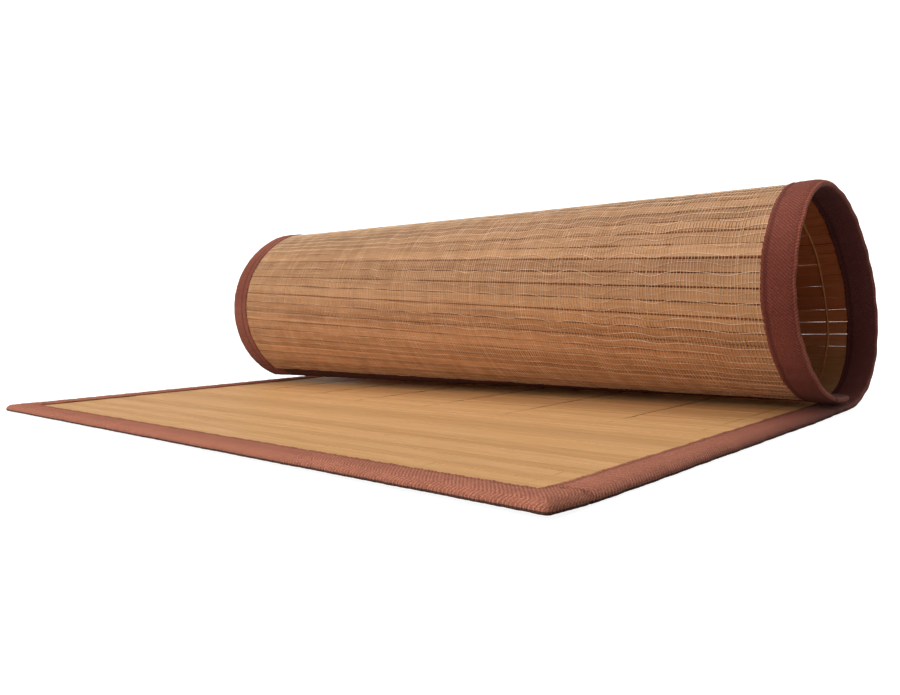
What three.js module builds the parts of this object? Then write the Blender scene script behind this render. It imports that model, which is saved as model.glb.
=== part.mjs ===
// Rolled bamboo placemat, modelled as it lies: a flat front part whose back end curls up and over
// towards the front into one open turn. Millimetres, +Z up, slats along X, open front edge at low Y.
//
// Distances along the mat run from the front edge, over the flat part and round the roll, to the
// free end. Offsets are counted from the middle of the mat's thickness: positive towards the
// backed side (table side of the flat part, outside of the roll).

import * as THREE from 'three';

// Overall sizes
const WIDTH = 330;
const SLAT_PITCH = 5.2;
const SLAT_COUNT = 86;

// Slats: thickness, and the shallow groove along each joint between two slats
const SLAT_THICKNESS = 1.2;
const GROOVE_DEPTH = 0.22;
const GROOVE_HALF_WIDTH = 0.35;

// Folded tape round the four edges, with a clearance to the slats that it covers. The tape of the
// front and back edges reaches in over two slats, and over three where it wraps a corner
const TAPE_THICKNESS = 0.6;
const CLEARANCE = 0.3;
const FOLD_NARROWING = 0.75;
const LEFT_TAPE_REACH = 13.5;
const RIGHT_TAPE_REACH = 11;
const END_TAPE_SLATS = 2;
const CORNER_SLATS = 3;

// Sizes that follow from the ones above
const EDGE_MARGIN = TAPE_THICKNESS + CLEARANCE;
const LENGTH = SLAT_COUNT * SLAT_PITCH + 2 * EDGE_MARGIN;
const SLAT_OFFSET = SLAT_THICKNESS / 2;
const TAPE_INNER_OFFSET = SLAT_OFFSET + CLEARANCE;
const TAPE_OUTER_OFFSET = TAPE_INNER_OFFSET + TAPE_THICKNESS;

// Lines across the mat where the side tapes end
const LEFT_TAPE_LINE = LEFT_TAPE_REACH - WIDTH / 2;
const RIGHT_TAPE_LINE = WIDTH / 2 - RIGHT_TAPE_REACH;

// The front edge stands a little off the table at its right corner
const LIP_SLATS = 3;
const RIGHT_LIP_LIFT = 0.8;

// Lengths and angles below this count as none
const NEGLIGIBLE = 1e-6;

// Bending along the mat, a row for each stretch: how many slats it has, and the total turn in
// degrees at the right and the left end of those slats
const STRETCHES = [
  { slats: LIP_SLATS, right: 0, left: 0 },
  { slats: 33, right: 0, left: 0 },
  { slats: 5, right: 30, left: 31 },
  { slats: 5, right: 63, left: 54 },
  { slats: 5, right: 32, left: 28 },
  { slats: 5, right: 22, left: 20 },
  { slats: 5, right: 24, left: 26 },
  { slats: 5, right: 49, left: 46 },
  { slats: 5, right: 38, left: 27 },
  { slats: 5, right: 46, left: 33 },
  { slats: 5, right: 29, left: 34 },
  { slats: 5, right: 28, left: 36 },
];

// Wound sections at the two ends of the slats

function slatHeadings(side, lipLift) {
  const lipAngle = Math.asin(lipLift / (LIP_SLATS * SLAT_PITCH));
  const headings = [];
  let heading = 0;
  for (const stretch of STRETCHES) {
    const turnPerSlat = THREE.MathUtils.degToRad(stretch[side]) / stretch.slats;
    for (let k = 0; k < stretch.slats; k += 1) {
      heading += turnPerSlat;
      headings.push(headings.length < LIP_SLATS ? -lipAngle : heading);
    }
  }
  return headings;
}

function windSection(side, lipLift) {
  const headings = slatHeadings(side, lipLift);
  let y = EDGE_MARGIN;
  let z = TAPE_OUTER_OFFSET + lipLift;
  const joints = [[y, z]];
  for (const heading of headings) {
    y += SLAT_PITCH * Math.cos(heading);
    z += SLAT_PITCH * Math.sin(heading);
    joints.push([y, z]);
  }
  return { headings, joints };
}

const rightSection = windSection('right', RIGHT_LIP_LIFT);
const leftSection = windSection('left', 0);

function jointDistance(index) {
  return EDGE_MARGIN + index * SLAT_PITCH;
}

function bendsAt(index) {
  return [rightSection, leftSection].some(
    ({ headings }) => Math.abs(headings[index] - headings[index - 1]) > NEGLIGIBLE,
  );
}

// Point of one section at a distance along the mat, moved out by an offset; on a joint between
// two slats the offset is mitred
function sectionPoint({ headings, joints }, distance, offset) {
  const place = (distance - EDGE_MARGIN) / SLAT_PITCH;
  const nearest = Math.round(place);
  const onJoint = Math.abs(place - nearest) < NEGLIGIBLE && nearest > 0 && nearest < SLAT_COUNT;
  if (onJoint) {
    const before = headings[nearest - 1];
    const after = headings[nearest];
    const middle = (before + after) / 2;
    const reach = offset / Math.cos((after - before) / 2);
    const [y, z] = joints[nearest];
    return [y + reach * Math.sin(middle), z - reach * Math.cos(middle)];
  }
  const slat = THREE.MathUtils.clamp(Math.floor(place), 0, SLAT_COUNT - 1);
  const heading = headings[slat];
  const along = distance - jointDistance(slat);
  const [y, z] = joints[slat];
  return [
    y + along * Math.cos(heading) + offset * Math.sin(heading),
    z + along * Math.sin(heading) - offset * Math.cos(heading),
  ];
}

// Point of the mat: every slat is straight, so it runs in a straight line between the sections
function matPoint(x, distance, offset) {
  const share = x / WIDTH + 0.5;
  const [leftY, leftZ] = sectionPoint(leftSection, distance, offset);
  const [rightY, rightZ] = sectionPoint(rightSection, distance, offset);
  return [
    x,
    THREE.MathUtils.lerp(leftY, rightY, share),
    THREE.MathUtils.lerp(leftZ, rightZ, share),
  ];
}

// Closed solid from a lattice of cells, bent as the mat is. The lattice has lines across the mat,
// along it and through its thickness, and only its filled cells belong to the solid

// The six faces of a cell: the step to the neighbour there, and its corners in outward order.
// Offsets grow downwards on the flat part, so the order is that of a mirrored cell
const CELL_FACES = [
  { step: [-1, 0, 0], corners: [[0, 0, 0], [0, 1, 0], [0, 1, 1], [0, 0, 1]] },
  { step: [1, 0, 0], corners: [[1, 0, 0], [1, 0, 1], [1, 1, 1], [1, 1, 0]] },
  { step: [0, -1, 0], corners: [[0, 0, 0], [0, 0, 1], [1, 0, 1], [1, 0, 0]] },
  { step: [0, 1, 0], corners: [[0, 1, 0], [1, 1, 0], [1, 1, 1], [0, 1, 1]] },
  { step: [0, 0, -1], corners: [[0, 0, 0], [1, 0, 0], [1, 1, 0], [0, 1, 0]] },
  { step: [0, 0, 1], corners: [[0, 0, 1], [0, 1, 1], [1, 1, 1], [1, 0, 1]] },
];

function latticeSolid({ across, along, layers, offsetAt, isFilled }) {
  const cells = [across.length - 1, along.length - 1, layers - 1];
  const positions = [];
  const index = [];
  const numbers = new Map();

  function cornerNumber(i, j, k) {
    const key = `${i},${j},${k}`;
    if (!numbers.has(key)) {
      numbers.set(key, positions.length / 3);
      positions.push(...matPoint(across[i], along[j], offsetAt(i, j, k)));
    }
    return numbers.get(key);
  }

  function solidAt(i, j, k) {
    const inside = [i, j, k].every((value, axis) => value >= 0 && value < cells[axis]);
    return inside && isFilled(i, j, k);
  }

  function addCell(i, j, k) {
    for (const { step, corners } of CELL_FACES) {
      if (!solidAt(i + step[0], j + step[1], k + step[2])) {
        const [a, b, c, d] = corners.map((corner) =>
          cornerNumber(i + corner[0], j + corner[1], k + corner[2]),
        );
        index.push(a, b, c, a, c, d);
      }
    }
  }

  for (let i = 0; i < cells[0]; i += 1) {
    for (let j = 0; j < cells[1]; j += 1) {
      for (let k = 0; k < cells[2]; k += 1) {
        if (solidAt(i, j, k)) {
          addCell(i, j, k);
        }
      }
    }
  }

  const geometry = new THREE.BufferGeometry();
  geometry.setAttribute('position', new THREE.Float32BufferAttribute(positions, 3));
  geometry.setIndex(index);
  geometry.computeVertexNormals();
  return geometry;
}

// Slat panel: all slats side by side, with a groove along each joint on both faces

function makePanel() {
  const panelEnd = WIDTH / 2 - EDGE_MARGIN;
  const along = [EDGE_MARGIN];
  const grooved = [false];
  for (let joint = 1; joint < SLAT_COUNT; joint += 1) {
    const distance = jointDistance(joint);
    along.push(distance - GROOVE_HALF_WIDTH, distance, distance + GROOVE_HALF_WIDTH);
    grooved.push(false, true, false);
  }
  along.push(LENGTH - EDGE_MARGIN);
  grooved.push(false);
  return latticeSolid({
    across: [-panelEnd, LEFT_TAPE_LINE, RIGHT_TAPE_LINE, panelEnd],
    along,
    layers: 2,
    offsetAt: (i, j, k) => {
      const half = grooved[j] ? SLAT_OFFSET - GROOVE_DEPTH : SLAT_OFFSET;
      return k === 0 ? -half : half;
    },
    isFilled: () => true,
  });
}

// Folded tape: two legs that hold the slats between them, joined by the fold round the edge

const TAPE_OFFSETS = [-TAPE_OUTER_OFFSET, -TAPE_INNER_OFFSET, TAPE_INNER_OFFSET, TAPE_OUTER_OFFSET];
const SLAT_LAYER = 1;

function tapeOffset(k, onFold) {
  return onFold ? TAPE_OFFSETS[k] * FOLD_NARROWING : TAPE_OFFSETS[k];
}

// Tape of the front or back edge with its two corners; distanceOf counts in from that edge
function makeEndTape(distanceOf) {
  const across = [
    -WIDTH / 2,
    TAPE_THICKNESS - WIDTH / 2,
    LEFT_TAPE_LINE,
    RIGHT_TAPE_LINE,
    WIDTH / 2 - TAPE_THICKNESS,
    WIDTH / 2,
  ];
  const inward = [0, TAPE_THICKNESS, ...[1, END_TAPE_SLATS, CORNER_SLATS].map(jointDistance)];
  const isFrontEdge = distanceOf(0) < distanceOf(TAPE_THICKNESS);
  const steps = isFrontEdge ? inward : inward.reverse();
  const lastLine = across.length - 1;
  const reach = jointDistance(END_TAPE_SLATS);
  return latticeSolid({
    across,
    along: steps.map(distanceOf),
    layers: TAPE_OFFSETS.length,
    offsetAt: (i, j, k) => tapeOffset(k, steps[j] === 0 || i === 0 || i === lastLine),
    isFilled: (i, j, k) => {
      const depth = Math.min(steps[j], steps[j + 1]);
      const onFold = depth === 0 || i === 0 || i + 1 === lastLine;
      const inCorner = across[i] < LEFT_TAPE_LINE || across[i] >= RIGHT_TAPE_LINE;
      return (inCorner || depth < reach) && (onFold || k !== SLAT_LAYER);
    },
  });
}

// Tape of the left or right edge between the corners; foldCell is the cell that wraps the edge
function makeSideTape(across, foldCell) {
  const along = [jointDistance(CORNER_SLATS) + CLEARANCE];
  for (let joint = CORNER_SLATS + 1; joint < SLAT_COUNT - CORNER_SLATS; joint += 1) {
    if (bendsAt(joint)) {
      along.push(jointDistance(joint));
    }
  }
  along.push(LENGTH - jointDistance(CORNER_SLATS) - CLEARANCE);
  return latticeSolid({
    across,
    along,
    layers: TAPE_OFFSETS.length,
    offsetAt: (i, j, k) => tapeOffset(k, Math.abs(across[i]) === WIDTH / 2),
    isFilled: (i, j, k) => i === foldCell || k !== SLAT_LAYER,
  });
}

// Assembly

const bamboo = { color: 0xcb9a66, roughness: 0.55, metalness: 0 };
const tape = { color: 0x8a4a3c, roughness: 0.95, metalness: 0 };

const pieces = [
  { name: 'slat_panel', finish: bamboo, geometry: makePanel() },
  { name: 'front_binding', finish: tape, geometry: makeEndTape((inward) => inward) },
  { name: 'back_binding', finish: tape, geometry: makeEndTape((inward) => LENGTH - inward) },
  {
    name: 'left_binding',
    finish: tape,
    geometry: makeSideTape([-WIDTH / 2, TAPE_THICKNESS - WIDTH / 2, LEFT_TAPE_LINE], 0),
  },
  {
    name: 'right_binding',
    finish: tape,
    geometry: makeSideTape([RIGHT_TAPE_LINE, WIDTH / 2 - TAPE_THICKNESS, WIDTH / 2], 1),
  },
];

const placemat = new THREE.Group();
placemat.name = 'bamboo_placemat';
for (const { name, finish, geometry } of pieces) {
  const mesh = new THREE.Mesh(geometry, new THREE.MeshStandardMaterial(finish));
  mesh.name = name;
  placemat.add(mesh);
}

// Stand the model on the origin: middle of the underside of its box
const box = new THREE.Box3().setFromObject(placemat);
const centre = box.getCenter(new THREE.Vector3());
for (const mesh of placemat.children) {
  mesh.geometry.translate(-centre.x, -centre.y, -box.min.z);
}

export default placemat;
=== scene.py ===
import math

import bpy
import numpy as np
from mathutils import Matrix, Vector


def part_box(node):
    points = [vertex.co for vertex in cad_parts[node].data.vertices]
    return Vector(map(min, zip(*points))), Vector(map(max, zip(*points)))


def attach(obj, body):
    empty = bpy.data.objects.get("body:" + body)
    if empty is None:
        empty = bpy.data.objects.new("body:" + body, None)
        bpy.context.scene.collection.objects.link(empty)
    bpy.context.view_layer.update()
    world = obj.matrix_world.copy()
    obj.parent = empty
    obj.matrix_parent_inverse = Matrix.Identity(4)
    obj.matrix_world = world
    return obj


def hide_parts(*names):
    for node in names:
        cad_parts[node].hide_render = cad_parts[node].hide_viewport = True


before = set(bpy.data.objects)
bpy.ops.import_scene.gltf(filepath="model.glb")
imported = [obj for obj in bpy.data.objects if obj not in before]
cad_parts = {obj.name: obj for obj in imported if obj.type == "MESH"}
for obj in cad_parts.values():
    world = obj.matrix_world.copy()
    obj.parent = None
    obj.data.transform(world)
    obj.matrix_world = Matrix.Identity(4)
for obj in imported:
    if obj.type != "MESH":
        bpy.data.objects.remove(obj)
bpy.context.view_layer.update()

# Looks of the rolled bamboo placemat, dressed round its solids. Metres, in the frame of the solids.
#
# Every piece is laid out on the flattened mat and then bent with it: x runs along the slats,
# distances s run from the front edge over the flat part and round the roll to the free end, and
# offsets o are counted from the middle of the mat's thickness, positive towards the backed side.

MM = 0.001

# Sizes that the solids have too
WIDTH = 330 * MM
SLAT_PITCH = 5.2 * MM
SLAT_COUNT = 86
SLAT_THICKNESS = 1.2 * MM
TAPE_THICKNESS = 0.6 * MM
CLEARANCE = 0.3 * MM
LEFT_TAPE_REACH = 13.5 * MM
RIGHT_TAPE_REACH = 11 * MM
END_TAPE_SLATS = 2
CORNER_SLATS = 3
LIP_SLATS = 3
RIGHT_LIP_LIFT = 0.8 * MM

# Sizes that follow from the ones above
EDGE_MARGIN = TAPE_THICKNESS + CLEARANCE
LENGTH = SLAT_COUNT * SLAT_PITCH + 2 * EDGE_MARGIN
SLAT_OFFSET = SLAT_THICKNESS / 2
TAPE_INNER_OFFSET = SLAT_OFFSET + CLEARANCE
TAPE_OUTER_OFFSET = TAPE_INNER_OFFSET + TAPE_THICKNESS
LEFT_TAPE_LINE = LEFT_TAPE_REACH - WIDTH / 2
RIGHT_TAPE_LINE = WIDTH / 2 - RIGHT_TAPE_REACH
PANEL_END = WIDTH / 2 - EDGE_MARGIN

# Bending along the mat, a row for each stretch: how many slats it has, and the total turn in
# degrees at the right and the left end of those slats
STRETCHES = [
    {"slats": LIP_SLATS, "right": 0, "left": 0},
    {"slats": 33, "right": 0, "left": 0},
    {"slats": 5, "right": 30, "left": 31},
    {"slats": 5, "right": 63, "left": 54},
    {"slats": 5, "right": 32, "left": 28},
    {"slats": 5, "right": 22, "left": 20},
    {"slats": 5, "right": 24, "left": 26},
    {"slats": 5, "right": 49, "left": 46},
    {"slats": 5, "right": 38, "left": 27},
    {"slats": 5, "right": 46, "left": 33},
    {"slats": 5, "right": 29, "left": 34},
    {"slats": 5, "right": 28, "left": 36},
]
FLAT_SLATS = STRETCHES[0]["slats"] + STRETCHES[1]["slats"]


def joint_distance(index):
    return EDGE_MARGIN + index * SLAT_PITCH


FLAT_END = joint_distance(FLAT_SLATS)
END_TAPE_REACH = joint_distance(END_TAPE_SLATS)
CORNER_REACH = joint_distance(CORNER_SLATS)
FRONT_EDGE_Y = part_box("left_binding")[0].y - (CORNER_REACH + CLEARANCE)


# The bent mat

class Section:
    """The bent line of one end of the slats, smoothed over the joints between them."""

    STEP = 0.1 * MM
    MARGIN = 3 * MM
    FLAT_PLACE = 100 * MM

    def __init__(self, side, lip_lift):
        turns = []
        for stretch in STRETCHES:
            turn = math.radians(stretch[side]) / stretch["slats"]
            turns += [turn] * stretch["slats"]
        headings = np.cumsum(turns)
        headings[:LIP_SLATS] = -math.asin(lip_lift / (LIP_SLATS * SLAT_PITCH))
        slat_middles = EDGE_MARGIN + SLAT_PITCH * (np.arange(SLAT_COUNT) + 0.5)
        self.s = np.arange(-self.MARGIN, LENGTH + self.MARGIN, self.STEP)
        self.heading = np.interp(self.s, slat_middles, headings)
        halfway = (self.heading[1:] + self.heading[:-1]) / 2
        y = np.concatenate([[0], np.cumsum(np.cos(halfway))]) * self.STEP
        z = np.concatenate([[0], np.cumsum(np.sin(halfway))]) * self.STEP
        self.turns = np.diff(headings, prepend=headings[0], append=headings[-1])
        self.y = y - np.interp(self.FLAT_PLACE, self.s, y) + self.FLAT_PLACE + FRONT_EDGE_Y
        self.z = z - np.interp(self.FLAT_PLACE, self.s, z) + TAPE_OUTER_OFFSET

    def at(self, s, o, ahead):
        heading = np.interp(s, self.s, self.heading)
        y = np.interp(s, self.s, self.y) + ahead * np.cos(heading) + o * np.sin(heading)
        z = np.interp(s, self.s, self.z) + ahead * np.sin(heading) - o * np.cos(heading)
        return y, z


RIGHT_SECTION = Section("right", RIGHT_LIP_LIFT)
LEFT_SECTION = Section("left", 0)


def mat_points(x, s, o, ahead=0.0):
    """Points of the bent mat, the last axis x, y, z; ahead goes straight on from s."""
    x, s, o, ahead = np.broadcast_arrays(x, s, o, ahead)
    share = x / WIDTH + 0.5
    left_y, left_z = LEFT_SECTION.at(s, o, ahead)
    right_y, right_z = RIGHT_SECTION.at(s, o, ahead)
    y = left_y + (right_y - left_y) * share
    z = left_z + (right_z - left_z) * share
    return np.stack([x, y, z], -1)


# Helpers for meshes

WAVE_STRETCH = (0.75, 1.3)
NO_SHARP_EDGES = 180


def smooth_waves(values, rng, wavelengths, rows):
    """Smooth random waves along the values, between about -1 and 1: as many rows as wanted."""
    total = np.zeros((rows, len(values)))
    for wavelength in wavelengths:
        phase = rng.uniform(0, 2 * math.pi, (rows, 1))
        stretch = rng.uniform(*WAVE_STRETCH, (rows, 1))
        total += np.sin(2 * math.pi * values * stretch / wavelength + phase)
    return total / len(wavelengths)


def smooth_step(values, low, high):
    t = np.clip((values - low) / (high - low), 0, 1)
    return t * t * (3 - 2 * t)


def make_piece(name, points, faces, material, vectors, numbers, sharp_angle):
    """A mesh object on the only body, with its attributes for the material."""
    mesh = bpy.data.meshes.new(name)
    mesh.from_pydata(points.reshape(-1, 3).tolist(), [], faces)
    for key, values in vectors.items():
        attribute = mesh.attributes.new(key, "FLOAT_VECTOR", "POINT")
        attribute.data.foreach_set("vector", np.ascontiguousarray(values, np.float32).ravel())
    for key, values in numbers.items():
        attribute = mesh.attributes.new(key, "FLOAT", "POINT")
        attribute.data.foreach_set("value", np.ascontiguousarray(values, np.float32).ravel())
    mesh.polygons.foreach_set("use_smooth", np.ones(len(mesh.polygons), bool))
    mesh.set_sharp_from_angle(angle=math.radians(sharp_angle))
    mesh.materials.append(material)
    piece = bpy.data.objects.new(name, mesh)
    bpy.context.scene.collection.objects.link(piece)
    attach(piece, "root")
    return piece


def tube_faces(count, stations, sides):
    """Faces of closed tubes, stations along each and sides round it, with flat ends."""
    along = np.arange(stations - 1)[:, None] * sides
    around = np.arange(sides)[None, :]
    after = (around + 1) % sides
    quads = np.stack([along + around, along + sides + around, along + sides + after, along + after], -1)
    quads = quads.reshape(-1, 4)
    first_end = list(range(sides))
    last_end = [sides * stations - 1 - corner for corner in range(sides)]
    faces = []
    for tube in range(count):
        start = tube * stations * sides
        faces += (quads + start).tolist()
        faces.append([start + corner for corner in first_end])
        faces.append([start + corner for corner in last_end])
    return faces


# Helpers for materials

NOISE_ROUGHNESS = 0.6


def add_node(tree, kind, inputs=(), **settings):
    made = tree.nodes.new(kind)
    for key, value in settings.items():
        setattr(made, key, value)
    for key, value in dict(inputs).items():
        if isinstance(value, bpy.types.NodeSocket):
            tree.links.new(value, made.inputs[key])
        else:
            made.inputs[key].default_value = value
    return made


def new_material(name):
    material = bpy.data.materials.new(name)
    material.use_nodes = True
    tree = material.node_tree
    shader = tree.nodes["Principled BSDF"]
    return material, tree, shader


def attribute_node(tree, name):
    return add_node(tree, "ShaderNodeAttribute", attribute_name=name)


def calculate(tree, operation, *values):
    return add_node(tree, "ShaderNodeMath", enumerate(values), operation=operation).outputs[0]


def ramp_between(tree, value, low, high, to_low=0.0, to_high=1.0):
    """The value, moved from the first range to the second one with soft ends."""
    inputs = {"Value": value, "From Min": low, "From Max": high, "To Min": to_low, "To Max": to_high}
    return add_node(tree, "ShaderNodeMapRange", inputs, interpolation_type="SMOOTHSTEP").outputs[0]


def mix_colors(tree, factor, first, second, blend="MIX"):
    inputs = {0: factor, 6: first, 7: second}
    return add_node(tree, "ShaderNodeMix", inputs, data_type="RGBA", blend_type=blend).outputs[2]


def multiply_colors(tree, first, second):
    return mix_colors(tree, 1.0, first, second, "MULTIPLY")


def add_streaks(tree, color, noise, low, high, strength, streak_color):
    """Streaks of another colour, which start where the noise is at low and are full at high."""
    streaks = ramp_between(tree, noise, low, high, 0.0, strength)
    return mix_colors(tree, streaks, color, streak_color)


def scaled_noise(tree, coordinates, scale, detail, shift=None):
    """Noise over the flattened mat; the scale is how many features it has per metre in x, s and o."""
    scaled = add_node(tree, "ShaderNodeVectorMath", {0: coordinates, 1: scale}, operation="MULTIPLY")
    place = scaled.outputs[0]
    if shift is not None:
        moved = add_node(tree, "ShaderNodeCombineXYZ", {"X": shift, "Z": shift}).outputs[0]
        place = add_node(tree, "ShaderNodeVectorMath", {0: place, 1: moved}, operation="ADD").outputs[0]
    inputs = {"Vector": place, "Scale": 1.0, "Detail": detail, "Roughness": NOISE_ROUGHNESS}
    return add_node(tree, "ShaderNodeTexNoise", inputs).outputs["Fac"]


def add_bump(tree, shader, height, strength, distance):
    inputs = {"Height": height, "Strength": strength, "Distance": distance}
    tree.links.new(add_node(tree, "ShaderNodeBump", inputs).outputs[0], shader.inputs["Normal"])


def rgb(red, green, blue):
    return (red, green, blue, 1.0)


WHITE = rgb(1, 1, 1)


# Slats: flat strips of bamboo with bevelled edges, a little uneven, with a narrow gap between them

SLAT_STATIONS = 61
SLAT_SEED = 11
HEIGHT_SPREAD = 0.05 * MM
HEIGHT_WAVES = (190 * MM, 70 * MM)
FLAT_TILT = math.radians(0.5)
ROLL_TILT = math.radians(1.6)
MOST_TILT = 2
SHARP_BEVEL_ANGLE = 30

# Bevels: a small even one on the smooth face, and one on the backed side that varies, in shares of
# its usual width
SMOOTH_BEVEL = 0.06 * MM
BACKED_BEVEL_ALONG = 0.3 * MM
BACKED_BEVEL_DEEP = 0.85 * MM
BEVEL_WAVES = (210 * MM, 80 * MM, 33 * MM)
BEVEL_LEVELS = (0.35, 1.15)
BEVEL_VARIATION = 0.9
LEAST_BEVEL = 0.08
MOST_BEVEL = 1.3

# Gaps: wider on the roll than on the flat part, and tighter in the left half of the mat
FLAT_GAP = 0.06 * MM
ROLL_GAP = 0.12 * MM
WIDER_FROM = FLAT_END - 2 * SLAT_PITCH
WIDER_TO = FLAT_END + 4 * SLAT_PITCH
SMALLEST_GAP = 0.02 * MM
GAP_WAVES = (290 * MM, 90 * MM, 43 * MM, 19 * MM)
GAP_LEVELS = (0.55, 1.35)
GAP_VARIATION = 1.3
TIGHT_LEFT_SHARE = 0.25
TIGHT_TO = -60 * MM
OPEN_FROM = 60 * MM

# Where the mat bends, the smooth edges of two slats come closer. Each gap gets room for this: all of
# it at the right end and a share of it at the left.
BEND_ROOM_LEFT = 0.3
BEND_ROOM_FROM = 70 * MM
BEND_ROOM_TO = 120 * MM

# Joints near the right end of the roll with a gap of their own. A row gives the joint, counted from
# the front edge, and in millimetres what is added to its gap, less than nothing where the slats lie
# closer, the place of this from the middle of the mat, and its half width.
RIGHT_JOINTS = [
    (42, 0.30, 134, 7),
    (43, -0.30, 130, 50),
    (44, -0.03, 140, 30),
    (45, -0.14, 146, 22),
    (46, -0.25, 134, 9),
    (47, -0.09, 150, 14),
    (48, 0.04, 140, 30),
    (49, 0.01, 140, 30),
    (50, 0.32, 143, 7),
    (51, 0.42, 134, 14),
    (54, 0.36, 138, 8),
]

# Noise in the bamboo: its scale and detail, and how far it is shifted from slat to slat
FIBRES = ((45, 2400, 900), 5.0)
DASHES = ((130, 2100, 900), 2.0)
STREAKS = ((16, 700, 300), 3.0)
PATCHES = ((22, 150, 60), 2.0)
GRAIN_SHIFT = 37.0

# Streaks: the noise at which they start and at which they are full, their strength and their colour
DARK_STREAKS = (0.55, 0.75, 0.35, rgb(0.50, 0.26, 0.085))
PALE_DASHES = (0.62, 0.75, 0.3, rgb(0.86, 0.60, 0.32))
DARK_DASHES = (0.38, 0.27, 0.35, rgb(0.42, 0.21, 0.06))
BACKED_STREAKS = (0.5, 0.7, 0.6, rgb(0.26, 0.105, 0.045))

# Colours of the bamboo, and the shades that multiply them, from where to where along the mat
SMOOTH_FACE = (rgb(0.61, 0.335, 0.12), rgb(0.66, 0.385, 0.195))
# Painted shade: the smooth face is darker and redder inside the roll
SMOOTH_PAINTED_SHADE_IN_ROLL = rgb(0.95, 0.48, 0.37)
PAINTED_ROLL_SHADE_FROM, PAINTED_ROLL_SHADE_TO = FLAT_END + 3 * SLAT_PITCH, FLAT_END + 12 * SLAT_PITCH
BACKED_FACE = (rgb(0.47, 0.230, 0.090), rgb(0.69, 0.385, 0.185))
# Painted light: the backed face is a little darker before the free end and lighter near it
FREE_END_PAINTED_LIGHT = (rgb(0.88, 0.87, 0.90), rgb(1.08, 1.02, 1.03))
FREE_END_PAINTED_LIGHT_FROM, FREE_END_PAINTED_LIGHT_TO = 380 * MM, 402 * MM
FACE_BLEND = 0.3 * MM
FIBRE_SHADES = (rgb(0.86, 0.83, 0.78), rgb(1.07, 1.06, 1.05))
DULL_SLAT_SHADES = (rgb(0.91, 0.88, 0.84), rgb(0.74, 0.67, 0.61))
BRIGHT_SLAT_SHADE = rgb(1.07, 1.07, 1.07)
NOISE_RANGE = (0.3, 0.7)
FIBRE_ROUGHNESS = {"low": 0.2, "high": 0.8, "to_low": 0.62, "to_high": 0.44}


def joint_gaps(x, rng):
    """Width of the gap at every joint and station, halfway through the slats."""
    joints = np.arange(SLAT_COUNT + 1)
    rolled = smooth_step(joint_distance(joints), WIDER_FROM, WIDER_TO)
    level = rng.uniform(*GAP_LEVELS, SLAT_COUNT + 1)
    waves = smooth_waves(x, rng, GAP_WAVES, SLAT_COUNT + 1)
    width = (FLAT_GAP + (ROLL_GAP - FLAT_GAP) * rolled) * level
    opened = TIGHT_LEFT_SHARE + (1 - TIGHT_LEFT_SHARE) * smooth_step(x, TIGHT_TO, OPEN_FROM)
    gaps = np.maximum(width[:, None] * opened * (1 + GAP_VARIATION * waves), SMALLEST_GAP)
    for joint, wider, place, half_width in RIGHT_JOINTS:
        near = np.exp(-(((x - place * MM) / (half_width * MM)) ** 2))
        gaps[joint] += wider * MM * near
    gaps = np.maximum(gaps, SMALLEST_GAP)
    share = x / WIDTH + 0.5
    turns = LEFT_SECTION.turns[:, None] * (1 - share) + RIGHT_SECTION.turns[:, None] * share
    room = BEND_ROOM_LEFT + (1 - BEND_ROOM_LEFT) * smooth_step(x, BEND_ROOM_FROM, BEND_ROOM_TO)
    gaps += SLAT_OFFSET * np.maximum(turns, 0) * room
    gaps[[0, -1]] = 0
    return gaps


def joint_bevels(x, rng):
    """Bevel on the backed side at every joint and station: wide in places and nearly none in others."""
    waves = smooth_waves(x, rng, BEVEL_WAVES, SLAT_COUNT + 1)
    level = rng.uniform(*BEVEL_LEVELS, (SLAT_COUNT + 1, 1))
    share = np.clip(level + BEVEL_VARIATION * waves, LEAST_BEVEL, MOST_BEVEL)
    return BACKED_BEVEL_ALONG * share


def slat_profile(start, end, start_bevel, end_bevel):
    """Corners of a slat's section, round from its smooth face: places along and through the mat."""
    small, deep, half = SMOOTH_BEVEL, BACKED_BEVEL_DEEP, SLAT_OFFSET
    along = [start + small, end - small, end, end, end - end_bevel, start + start_bevel, start, start]
    through = [-half, -half, small - half, half - deep, half, half, half - deep, small - half]
    return np.stack(along, -1), np.broadcast_to(np.array(through), (len(start), len(through)))


def build_slats(material):
    rng = np.random.default_rng(SLAT_SEED)
    x = np.linspace(-PANEL_END, PANEL_END, SLAT_STATIONS)
    gaps = joint_gaps(x, rng)
    heights = rng.normal(0, HEIGHT_SPREAD / 2, SLAT_COUNT).clip(-HEIGHT_SPREAD, HEIGHT_SPREAD)
    tones = rng.uniform(0, 1, SLAT_COUNT)
    tilts = rng.normal(0, 1, SLAT_COUNT).clip(-MOST_TILT, MOST_TILT)
    waves = smooth_waves(x, rng, HEIGHT_WAVES, SLAT_COUNT)
    bevels = joint_bevels(x, rng)
    points, flat, shades = [], [], []
    for k in range(SLAT_COUNT):
        middle = joint_distance(k + 0.5)
        tilt = tilts[k] * (ROLL_TILT if middle > FLAT_END else FLAT_TILT)
        along, through = slat_profile(
            gaps[k] / 2 - SLAT_PITCH / 2, SLAT_PITCH / 2 - gaps[k + 1] / 2, bevels[k], bevels[k + 1],
        )
        lift = heights[k] + waves[k][:, None] * HEIGHT_SPREAD + along * math.tan(tilt)
        across = np.broadcast_to(x[:, None], along.shape)
        points.append(mat_points(across, middle, through + lift, along))
        flat.append(np.stack([across, middle + along, through], -1))
        shades.append(np.full(along.shape, tones[k]))
    sides = points[0].shape[1]
    faces = tube_faces(SLAT_COUNT, SLAT_STATIONS, sides)
    piece = make_piece(
        "slats", np.array(points), faces, material,
        {"flat": np.array(flat)}, {"tone": np.array(shades)}, SHARP_BEVEL_ANGLE,
    )
    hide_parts("slat_panel")
    return piece


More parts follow.
